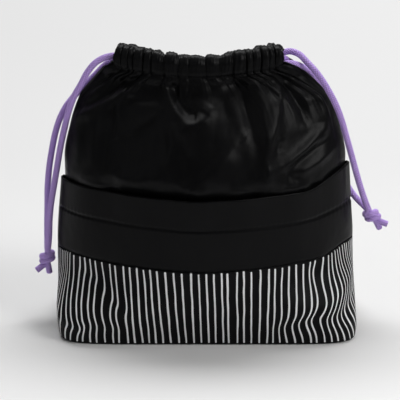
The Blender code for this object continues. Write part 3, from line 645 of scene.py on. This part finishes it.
# Creases of the striped foot: stops of (across, height, sideways push, relief), then the reach above and
# below
FOOT_CREASES = (
    ((-0.118, 0.0600, 0.0, 0.0), (-0.103, 0.0540, 0.0022, 0.0008), (-0.088, 0.0495, 0.0024, 0.0008),
     (-0.080, 0.0430, 0.0024, 0.0008), (-0.072, 0.0387, 0.0022, 0.0007), (-0.064, 0.0335, 0.0017, 0.0004),
     (-0.056, 0.0300, 0.0, 0.0), 0.0085, 0.0055),
    ((-0.124, 0.0340, -0.0010, -0.0004), (-0.105, 0.0330, -0.0018, -0.0008),
     (-0.094, 0.0310, -0.0016, -0.0007), (-0.082, 0.0280, -0.0010, -0.0004),
     (-0.070, 0.0240, -0.0006, 0.0), (-0.060, 0.0200, 0.0, 0.0), 0.0080, 0.0070),
    ((-0.132, 0.0230, 0.0, 0.0), (-0.122, 0.0205, 0.0030, 0.0014), (-0.110, 0.0165, 0.0034, 0.0016),
     (-0.100, 0.0140, 0.0028, 0.0012), (-0.092, 0.0170, 0.0012, 0.0006), (-0.080, 0.0160, 0.0010, 0.0004),
     (-0.070, 0.0150, 0.0006, 0.0), (-0.060, 0.0140, 0.0, 0.0), 0.0045, 0.0055),
    ((0.050, 0.0130, 0.0, 0.0), (0.062, 0.0150, -0.0028, -0.0012), (0.075, 0.0185, -0.0040, -0.0020),
     (0.088, 0.0212, -0.0040, -0.0022), (0.095, 0.0195, -0.0036, -0.0018),
     (0.104, 0.0200, -0.0042, -0.0022), (0.120, 0.0245, -0.0046, -0.0026),
     (0.138, 0.0290, -0.0030, -0.0020), (0.152, 0.0310, 0.0, 0.0), 0.0062, 0.0100),
    ((0.082, 0.0340, 0.0, 0.0), (0.098, 0.0330, 0.0012, 0.0012), (0.115, 0.0370, 0.0016, 0.0018),
     (0.135, 0.0420, 0.0010, 0.0012), (0.150, 0.0440, 0.0, 0.0), 0.0080, 0.0050),
    ((0.084, 0.0500, 0.0, 0.0), (0.090, 0.0520, -0.0016, -0.0006), (0.096, 0.0520, -0.0018, -0.0008),
     (0.104, 0.0500, 0.0, 0.0), 0.0100, 0.0100),
)


def foot_crease(across, height, part):
    """The creases' sideways push (part 2) or relief (part 3) along a row of the striped foot."""
    moved = np.zeros_like(across)
    for crease in FOOT_CREASES:
        stops, above, below = np.array(crease[:-2]), crease[-2], crease[-1]
        up = height - np.interp(across, stops[:, 0], stops[:, 1])
        amount = np.interp(across, stops[:, 0], stops[:, part])
        moved += amount * hump(up, np.where(up > 0, above, below))
    return moved


def foot_curve(height, shares, side):
    """plan_curve of the striped foot."""
    half = foot_size(height, FOOT_HALF, BELLY_HALF, POCKET_HALF)
    reach = foot_size(height, FOOT_REACH, BELLY_REACH, POCKET_REACH)
    return plan_curve(height, half, reach, shares, 2 * SEAM_GAP, side, FOOT_SQUARENESS)


def spots_along(curve, length, places):
    """How far along a row, from its middle, these places across lie."""
    run = np.linspace(-length / 2, length / 2, len(curve))
    return np.interp(places, curve[:, 0], run)


def foot_rows(side, columns, heights):
    """Rows of the foot with their creases, and each point's place across the flat cloth."""
    shares = np.linspace(0.0, 1.0, columns + 1)
    ease = ramp(from_end(shares), 0.0, 0.04)
    lines = np.array(STRIPE_LINES)
    floor_curve, _, floor_length = foot_curve(0.0, shares, 1)
    spots = spots_along(floor_curve, floor_length, lines[:, 1])
    spots = np.concatenate([[-FOOT_FLAT / 2], spots, [FOOT_FLAT / 2]])
    rows, places = [], []
    for height in heights:
        curve, normals, length = foot_curve(height, shares, side)
        across = (shares - 0.5) * length
        relief = foot_crease(side * across, height, 3)
        relief = relief + 0.4 * creases(curve[:, 0], height, 9)
        relief = ease * relief * ramp(height, 0.0, 0.010) * (1 - ramp(height, 0.055, 0.064))
        relief = relief - 0.0006 * ease * hump(height - SEAM_HEIGHT, 0.0011)
        relief = relief - 0.0011 * (1 - min(height / 0.0016, 1.0)) ** 2
        rows.append(row_of(curve, normals, height + corner_lift(side * curve[:, 0], height), relief))
        up = height / SEAM_HEIGHT
        straight, _, _ = foot_curve(height, shares, 1)
        lying = spots_along(straight, length, lines[:, 0] * up + lines[:, 1] * (1 - up))
        lying = np.concatenate([[-length / 2], lying, [length / 2]])
        pushed = side * across - foot_crease(side * across, height, 2)
        places.append(side * np.interp(pushed, lying, spots))
    return rows, np.array(places)


def stripe_panel(name, replaced, side, finish):
    """A striped panel of the foot, from the floor to the seam."""
    heights = np.linspace(0.0, SEAM_HEIGHT - 0.0001, 64)
    rows, places = foot_rows(side, 340, heights)
    rows = turned_edges(rows)
    places = np.pad(places, ((0, 0), (len(TURNED_EDGE),) * 2), mode="edge")
    flat, length = cloth_flat(rows, FOOT_FLAT)
    flat[:, :, 0] = places
    flat[:, :, 1] *= SEAM_HEIGHT / length
    points = np.array(rows) if side > 0 else half_turn(np.array(rows))
    piece = sewn(name, points, flat, finish, "striped_cloth", replaced)


def base_sheet(finish):
    """The flat base, slightly hollow, cut to lie inside the foot."""
    inset = CLOTH + 0.0009
    half, reach = FOOT_HALF - inset, FOOT_REACH - inset
    rows = []
    for turn in np.linspace(-1.0, 1.0, 61):
        y = reach * 0.992 * math.sin(turn * math.pi / 2)
        wide = half * (1 - abs(y / reach) ** BASE_SQUARENESS) ** (1 / BASE_SQUARENESS)
        x = FOOT_LEAN + wide * np.linspace(-1.0, 1.0, 101)
        sag = 0.0004 * (1 - np.linspace(-1.0, 1.0, 101) ** 2) * (1 - turn * turn)
        rows.append(np.column_stack([x, np.full_like(x, y), BASE_THICKNESS - sag]))
    points = np.array(rows)
    piece = sewn("base_sheet", points, points[:, :, :2], finish, "base_cloth", "base_panel")


def braid_height(around, along):
    """Height of the plaited strands, 0 to 1. around is in turns, along in metres."""
    first = around * BRAID_STRANDS + along / BRAID_STEP
    second = around * BRAID_STRANDS - along / BRAID_STEP
    over = (np.floor(first) + np.floor(second)) % 2
    across_first = 1 - (2 * (first % 1.0) - 1) ** 2
    across_second = 1 - (2 * (second % 1.0) - 1) ** 2
    return np.where(over > 0.5, across_first, across_second)


def braid_tube(name, points, start=0.02, ends=(True, True)):
    """A round plaited cord along these points. ends tells which of its ends are cut ones."""
    radius = CORD / 2
    sides = 48
    along = running(strides(points))
    tangents = np.gradient(points, along, axis=0)
    tangents /= np.linalg.norm(tangents, axis=1)[:, None]
    normal = np.cross(tangents[0], (0.0, 1.0, 0.0))
    if np.linalg.norm(normal) < 0.2:
        normal = np.cross(tangents[0], (1.0, 0.0, 0.0))
    turns = np.linspace(0.0, 1.0, sides + 1)
    rings, flat = [], []

    def ring(centre, first, second, size, place):
        height = braid_height(turns[:-1], place) if size > 0.9 else np.full(sides, 0.6)
        out = radius * size * (1.0 + BRAID_RELIEF * (np.append(height, height[0]) - 0.75))
        angles = 2 * math.pi * turns
        rings.append(centre + np.outer(np.cos(angles) * out, first) + np.outer(np.sin(angles) * out, second))
        flat.append(np.column_stack([turns, np.full(sides + 1, place)]))

    for k, centre in enumerate(points):
        normal = normal - tangents[k] * np.dot(normal, tangents[k])
        normal /= np.linalg.norm(normal)
        second = np.cross(tangents[k], normal)
        if k == 0:
            for size in (0.002, 0.45, 0.85):
                place = -0.01 if ends[0] else start
                ring(centre - tangents[0] * 0.0004 * (1 - size), normal, second, size, place)
        ring(centre, normal, second, 1.0, start + along[k])
        if k == len(points) - 1:
            for size in (0.85, 0.45, 0.002):
                place = -0.01 if ends[1] else start + along[k]
                ring(centre + tangents[k] * 0.0004 * (1 - size), normal, second, size, place)
    piece = bent_grid(name, np.array(rings), np.array(flat))
    select(piece)
    bpy.ops.object.mode_set(mode="EDIT")
    bpy.ops.mesh.select_all(action="SELECT")
    bpy.ops.mesh.remove_doubles(threshold=0.000012)
    bpy.ops.mesh.normals_make_consistent(inside=False)
    bpy.ops.object.mode_set(mode="OBJECT")
    return piece


def join(name, pieces):
    """Makes one piece of several."""
    select(*pieces)
    bpy.ops.object.join()
    return new_piece(name)


def knot_seat(front_route, back_route):
    """The knot's middle and the turn from its own frame, in which the cords come down from +Z."""
    ends = np.array([front_route[-1], back_route[-1]])
    aim = (ends - np.array([front_route[-2], back_route[-2]])).sum(axis=0) * (1, 0, 1)
    aim /= np.linalg.norm(aim)
    apart = np.linalg.norm(ends[1] - ends[0]) / 2
    centre = ends.mean(axis=0) * (1, 0, 1) + aim * math.sqrt(0.0071**2 - apart**2)
    return centre, Vector((0.0, 0.0, -1.0)).rotation_difference(Vector(aim)).to_matrix()


def cord_side(name, front_route, back_route, tails, handed, braid):
    """The two free runs on one side and the overhand knot that they are tied in."""
    centre, turn = knot_seat(front_route, back_route)
    turn = np.array(turn)

    def placed(points):
        return np.array([centre + turn @ (np.array(point) * 0.001) for point in points])

    def tail_points(direction, base):
        aim = np.array(direction) / np.linalg.norm(direction)
        start = centre + turn @ (np.array(base) * 0.001)
        return np.array([start + aim * reach for reach in (0.0028, 0.0060, 0.0100)])

    # one cord wraps twice round the other and comes out below it
    wrap = [(0.3, -3.0, 6.2), (2.4 * handed, -2.6, 4.9)]
    wound = 2 * math.pi * 1.8
    for angle in np.linspace(0.5, 0.5 + wound, 20):
        share = (angle - 0.5) / wound
        wide = 4.3 - 0.5 * (2 * share - 1) ** 2
        aside = handed * wide * math.cos(angle - 0.9)
        outwards = wide * 0.96 * math.cos(angle - 0.9 + math.pi / 2)
        wrap.append((aside, outwards, 3.9 - 7.4 * share + 0.8 * math.sin(angle)))
    wrap.append((handed * -0.6, 0.6, -5.4))
    core = [(0.0, 3.0, 6.2), (0.0, 1.4, 3.8), (0.2, 0.2, 0.0), (0.2, 0.0, -3.8)]
    wrapped = np.vstack([placed(wrap), tail_points(tails[0], (-0.6 * handed, 0.2, -5.0))])
    cored = np.vstack([placed(core), tail_points(tails[1], (0.4, 0.0, -4.4))])
    strands = [
        braid_tube(f"{name}_knot_wrap", smooth_path(wrapped, 0.00050), 0.3, (False, True)),
        braid_tube(f"{name}_knot_core", smooth_path(cored, 0.00050), 0.4, (False, True)),
    ]
    knot = join(f"{name}_overhand_knot", strands)
    dress(knot, braid, "purple_cord", f"{name}_knot")
    for which, route in (("front", front_route), ("back", back_route)):
        path = smooth_path(route, 0.00045)
        run = braid_tube(f"{name}_{which}_run", path, 0.02, (False, False))
        dress(run, braid, "purple_cord", f"{name}_cord_{which}")


class Finish:
    """A material in the making: its nodes, its shader and its places on the flat cloth and in space."""

    def __init__(self, name, roughness, specular, sheen=0.0):
        self.made = bpy.data.materials.new(name)
        self.made.use_nodes = True
        self.tree = self.made.node_tree
        self.shader = self.tree.nodes["Principled BSDF"]
        self.put(self.shader, "Roughness", roughness)
        self.put(self.shader, "Specular IOR Level", specular)
        self.put(self.shader, "Sheen Weight", sheen)
        self.put(self.shader, "Sheen Roughness", 0.4)
        self.place = self.node("ShaderNodeTexCoord").outputs["UV"]
        self.space = self.node("ShaderNodeTexCoord").outputs["Object"]
        split = self.node("ShaderNodeSeparateXYZ")
        self.put(split, 0, self.place)
        self.across, self.up = split.outputs["X"], split.outputs["Y"]

    def node(self, kind, **settings):
        """A new node with these settings."""
        made = self.tree.nodes.new(kind)
        for key, value in settings.items():
            setattr(made, key, value)
        return made

    def put(self, receiver, socket, value):
        """Sets an input to a number or a colour, or links another node's output to it."""
        if isinstance(value, tuple):
            receiver.inputs[socket].default_value = (*value, 1.0)
        elif isinstance(value, (int, float)):
            receiver.inputs[socket].default_value = value
        else:
            self.tree.links.new(value, receiver.inputs[socket])

    def math(self, operation, *values):
        """A Math node's result. Each value is a number or another node's output."""
        made = self.node("ShaderNodeMath", operation=operation)
        for socket, value in enumerate(values):
            self.put(made, socket, value)
        return made.outputs[0]

    def plus(self, first, second):
        return self.math("ADD", first, second)

    def minus(self, first, second):
        return self.math("SUBTRACT", first, second)

    def times(self, first, second, added=0.0):
        return self.math("MULTIPLY_ADD", first, second, added)

    def chance(self, number, seed):
        """A number from 0 to 1 for each whole number."""
        made = self.node("ShaderNodeTexWhiteNoise", noise_dimensions="1D")
        self.put(made, "W", self.plus(number, seed))
        return made.outputs["Value"]

    def cloud(self, where, scale, detail=2.0, dimensions="3D"):
        """Soft noise from 0 to 1."""
        made = self.node("ShaderNodeTexNoise", noise_dimensions=dimensions)
        self.put(made, "Scale", scale)
        self.put(made, "Detail", detail)
        self.put(made, "W" if dimensions == "1D" else "Vector", where)
        return made.outputs["Fac"]

    def between(self, value, start, end, low, high, interpolation="SMOOTHSTEP"):
        """Goes from low to high while the value goes from start to end."""
        made = self.node("ShaderNodeMapRange", interpolation_type=interpolation)
        for socket, number in enumerate((value, start, end, low, high)):
            self.put(made, socket, number)
        return made.outputs["Result"]

    def blend(self, share, first, second):
        """A mix of two colours."""
        made = self.node("ShaderNodeMix", data_type="RGBA")
        for socket, value in ((0, share), (6, first), (7, second)):
            self.put(made, socket, value)
        return made.outputs[2]

    def weave(self, pitch):
        """Height of a plain weave with threads this far apart, 0 to 1."""
        waves = [self.math("SINE", self.times(way, math.pi / pitch)) for way in (self.across, self.up)]
        return self.times(self.times(*waves), 0.5, 0.5)

    def finished(self, colour, height, distance, strength):
        """The material, with this colour and this relief."""
        self.put(self.shader, "Base Color", colour)
        bump = self.node("ShaderNodeBump")
        self.put(bump, "Distance", distance)
        self.put(bump, "Strength", strength)
        self.put(bump, "Height", height)
        self.put(self.shader, "Normal", bump.outputs["Normal"])
        return self.made


def satin_material():
    """Black nylon satin: a dark weave, a soft sheen, slightly uneven."""
    satin = Finish("Black satin", 0.40, 0.075, 0.01)
    threads = satin.weave(0.00042)
    cloudy = satin.cloud(satin.place, 38.0, 4.0)
    shade = satin.blend(cloudy, (0.0016, 0.0016, 0.0018), (0.0034, 0.0034, 0.0038))
    tone = satin.blend(satin.times(threads, 0.35), shade, (0.0052, 0.0052, 0.0058))
    dull = satin.between(satin.cloud(satin.place, 21.0, 3.0), 0.3, 0.7, 0.34, 0.43)
    satin.put(satin.shader, "Roughness", dull)
    return satin.finished(tone, satin.times(threads, 0.10, satin.cloud(satin.place, 260.0)), 0.00022, 0.35)


def base_material():
    """Plain black base cloth with a coarser weave."""
    base = Finish("Base cloth", 0.62, 0.22, 0.05)
    threads = base.weave(0.0007)
    shade = base.blend(threads, (0.0040, 0.0040, 0.0045), (0.013, 0.013, 0.014))
    return base.finished(shade, base.plus(threads, base.cloud(base.place, 120.0)), 0.0001, 0.5)


def striped_material():
    """Black cloth with hand-drawn upright stripes of uneven width, place and length, with round ends."""
    cloth = Finish("Striped cloth", 0.52, 0.08, 0.01)
    chance, cloud, minus, plus, times = cloth.chance, cloth.cloud, cloth.minus, cloth.plus, cloth.times
    place, up = cloth.place, cloth.up
    count = cloth.math("DIVIDE", cloth.across, STRIPE_PITCH)
    number = cloth.math("ROUND", count)
    from_middle = times(minus(count, number), STRIPE_PITCH)
    aside = times(minus(chance(number, 0.37), 0.5), 0.0019)
    run = times(number, 3.17, times(up, 42.0))
    wander = times(minus(cloud(run, 1.0, 1.5, "1D"), 0.5), 0.0010)
    away = minus(from_middle, plus(aside, wander))
    top = times(chance(number, 8.61), -0.0011, SEAM_HEIGHT - 0.0011)
    bottom = times(chance(number, 4.19), 0.0007, 0.0024)
    past = cloth.math("MAXIMUM", cloth.math("MAXIMUM", minus(up, top), minus(bottom, up)), 0.0)
    reach = cloth.math("SQRT", times(away, away, times(past, past)))
    swell = times(cloud(plus(run, 31.7), 1.6, 2.0, "1D"), 0.00030, 0.00046)
    half = times(chance(number, 2.71), 0.00014, swell)
    ragged = times(minus(cloud(place, 2600.0, 1.0), 0.5), 0.00016)
    ink = cloth.between(plus(minus(reach, half), ragged), -0.00010, 0.00012, 1.0, 0.0)
    black = cloth.blend(cloud(place, 45.0, 4.0), (0.0022, 0.0022, 0.0025), (0.0042, 0.0042, 0.0048))
    white = cloth.blend(cloud(place, 900.0), (0.76, 0.76, 0.77), (0.90, 0.90, 0.91))
    height = plus(times(ink, 0.25, times(cloth.weave(0.00050), 0.25)), cloud(place, 240.0))
    return cloth.finished(cloth.blend(ink, black, white), height, 0.0002, 0.4)


def braid_material():
    """Plaited purple cord, with painted shade between its strands, pale where it is cut, with a painted
    highlight on the cut ends.
    """
    braid = Finish("Purple braid", 0.66, 0.25, 0.25)
    turns = braid.times(braid.across, float(BRAID_STRANDS))
    ahead = braid.math("DIVIDE", braid.up, BRAID_STEP)
    ways = braid.plus(turns, ahead), braid.minus(turns, ahead)
    over = braid.math("FLOORED_MODULO", braid.plus(*[braid.math("FLOOR", way) for way in ways]), 2.0)
    strands = []
    for way in ways:
        part = braid.times(braid.math("FLOORED_MODULO", way, 1.0), 2.0, -1.0)
        strands.append(braid.minus(1.0, braid.times(part, part)))
    height = braid.times(strands[0], over, braid.times(strands[1], braid.minus(1.0, over)))
    fuzz = braid.cloud(braid.space, 1900.0, 3.0)
    # painted shade: the cord's colour darkens where the strands dip between each other, mixed with fibre fuzz
    lit = braid.between(braid.times(fuzz, 0.35, braid.times(height, 0.8)), 0.1, 0.95, 0.0, 1.0)
    plaited = braid.blend(lit, BRAID_DARK, BRAID_LIGHT)
    # the cut ends: the melted ends' paler tone, with a painted highlight of their shine
    cut = braid.between(braid.up, -0.004, -0.001, 1.0, 0.0)
    colour = braid.blend(cut, plaited, (0.62, 0.52, 0.72))
    return braid.finished(colour, braid.times(fuzz, 0.3, height), 0.00030, 0.8)


def hidden_braid_material():
    """The cord's stretches inside the casings, by their place in space."""
    braid = Finish("Purple braid in the casings", 0.7, 0.25, 0.2)
    grain = braid.cloud(braid.space, 900.0, 3.0)
    return braid.finished(braid.blend(grain, BRAID_DARK, BRAID_LIGHT), grain, 0.0003, 0.8)


def paper_material():
    """The pale sweep, with painted shade that darkens the floor towards the bag and behind it. Its backdrop
    shows to the camera a little brighter than it is lit, as painted light that grows brighter to the right.
    """
    paper = Finish("Pale sweep", 0.95, 0.1)
    split = paper.node("ShaderNodeSeparateXYZ")
    paper.put(split, 0, paper.space)
    # painted shade: the floor's colour darkens from 32 cm in front of the bag to under it, and stays dark
    # behind
    behind = paper.between(split.outputs["Y"], -0.32, 0.0, 0.0, 1.0)
    paper.put(paper.shader, "Base Color", paper.blend(behind, (0.95, 0.95, 0.95), (0.74, 0.74, 0.74)))
    # painted light: the backdrop's glow for the camera grows brighter from left to right, towards the key
    glow = paper.node("ShaderNodeEmission")
    paper.put(glow, "Strength", paper.between(split.outputs["X"], -0.6, 0.6, 0.78, 0.90, "LINEAR"))
    seen = paper.node("ShaderNodeLightPath").outputs["Is Camera Ray"]
    mixed = paper.node("ShaderNodeMixShader")
    paper.put(mixed, 0, paper.times(seen, paper.between(split.outputs["Y"], 0.05, 0.55, 0.0, 0.95)))
    paper.put(mixed, 1, paper.shader.outputs[0])
    paper.put(mixed, 2, glow.outputs[0])
    paper.put(paper.tree.nodes["Material Output"], 0, mixed.outputs[0])
    return paper.made


def stage():
    """A pale sweep: the floor, curved up into a backdrop."""
    select()
    bpy.ops.mesh.primitive_grid_add(x_subdivisions=1, y_subdivisions=48, size=1)
    sweep = new_piece("sweep")
    wide, near, far, bend, tall = 3.0, -1.6, 1.6, 0.5, 1.8
    runs = far - near - bend, bend * math.pi / 2, tall - bend
    whole = sum(runs)
    for vertex in sweep.data.vertices:
        along = (vertex.co.y + 0.5) * whole
        x = vertex.co.x * 2 * wide
        if along < runs[0]:
            vertex.co = (x, near + along, 0.0)
        elif along < runs[0] + runs[1]:
            angle = (along - runs[0]) / bend
            vertex.co = (x, far - bend + bend * math.sin(angle), bend - bend * math.cos(angle))
        else:
            vertex.co = (x, far, bend + along - runs[0] - runs[1])
    sweep.data.shade_smooth()
    sweep.data.materials.append(paper_material())


def hold(name, data, place, turn):
    """Puts a lamp or a camera in the scene."""
    holder = bpy.data.objects.new(name, data)
    bpy.context.scene.collection.objects.link(holder)
    holder.location = place
    holder.rotation_euler = turn
    return holder


def area_light(name, place, aim, size, power, colour):
    """A soft box of this size in metres, turned towards aim."""
    lamp = bpy.data.lights.new(name, "AREA")
    lamp.shape = "RECTANGLE"
    lamp.size, lamp.size_y = size
    lamp.energy = power
    lamp.color = colour
    hold(name, lamp, place, (Vector(aim) - Vector(place)).to_track_quat("-Z", "Y").to_euler())


def lights():
    """A softbox above and behind, a key from the right, a weak fill from the left and a dim room."""
    world = bpy.data.worlds.new("Studio")
    bpy.context.scene.world = world
    world.use_nodes = True
    room = world.node_tree.nodes["Background"].inputs
    room["Color"].default_value = (1.0, 1.0, 1.0, 1.0)
    room["Strength"].default_value = 0.15
    area_light("Overhead", (0.02, 0.52, 1.40), (0.0, 0.0, 0.03), (1.5, 0.6), 21.0, (1.0, 1.0, 1.0))
    area_light("Key", (1.00, -0.55, 1.05), (0.0, 0.0, 0.12), (0.6, 0.6), 8.5, (1.0, 0.99, 0.98))
    area_light("Fill", (-1.1, -0.9, 0.9), (0.0, 0.0, 0.12), (0.9, 0.9), 1.2, (0.97, 0.98, 1.0))


def camera():
    """Looks down on the front from a metre away."""
    frame_width, focal, off_centre = 400.0, 1290.0, 5.0
    view = bpy.data.cameras.new("Camera")
    view.sensor_width = 36.0
    view.lens = view.sensor_width * focal / frame_width
    view.shift_x = -off_centre / frame_width
    down = math.radians(90.0 - 17.7)
    bpy.context.scene.camera = hold("Camera", view, (0.0, -1.0, 0.42), (down, 0.0, 0.0))


def main():
    """Builds the stage and dresses every node of the frame."""
    bpy.context.scene.view_settings.view_transform = "Standard"
    camera()
    lights()
    stage()
    braid = braid_material()
    cord_side("left", LEFT_CORD_FRONT, LEFT_CORD_BACK, LEFT_TAILS, 1, braid)
    cord_side("right", RIGHT_CORD_FRONT, RIGHT_CORD_BACK, RIGHT_TAILS, -1, braid)
    inner_braid = hidden_braid_material()
    for name in ("left_cord_in_casing", "right_cord_in_casing"):
        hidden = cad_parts[name]
        hidden.data.materials.clear()
        hidden.data.materials.append(inner_braid)
    satin = satin_material()
    striped = striped_material()
    front_wall(satin)
    back_wall(satin)
    stripe_panel("pocket_stripes", "pocket_stripe_panel", 1, striped)
    stripe_panel("back_stripes", "back_stripe_panel", -1, striped)
    pocket_band(satin)
    base_sheet(base_material())


main()
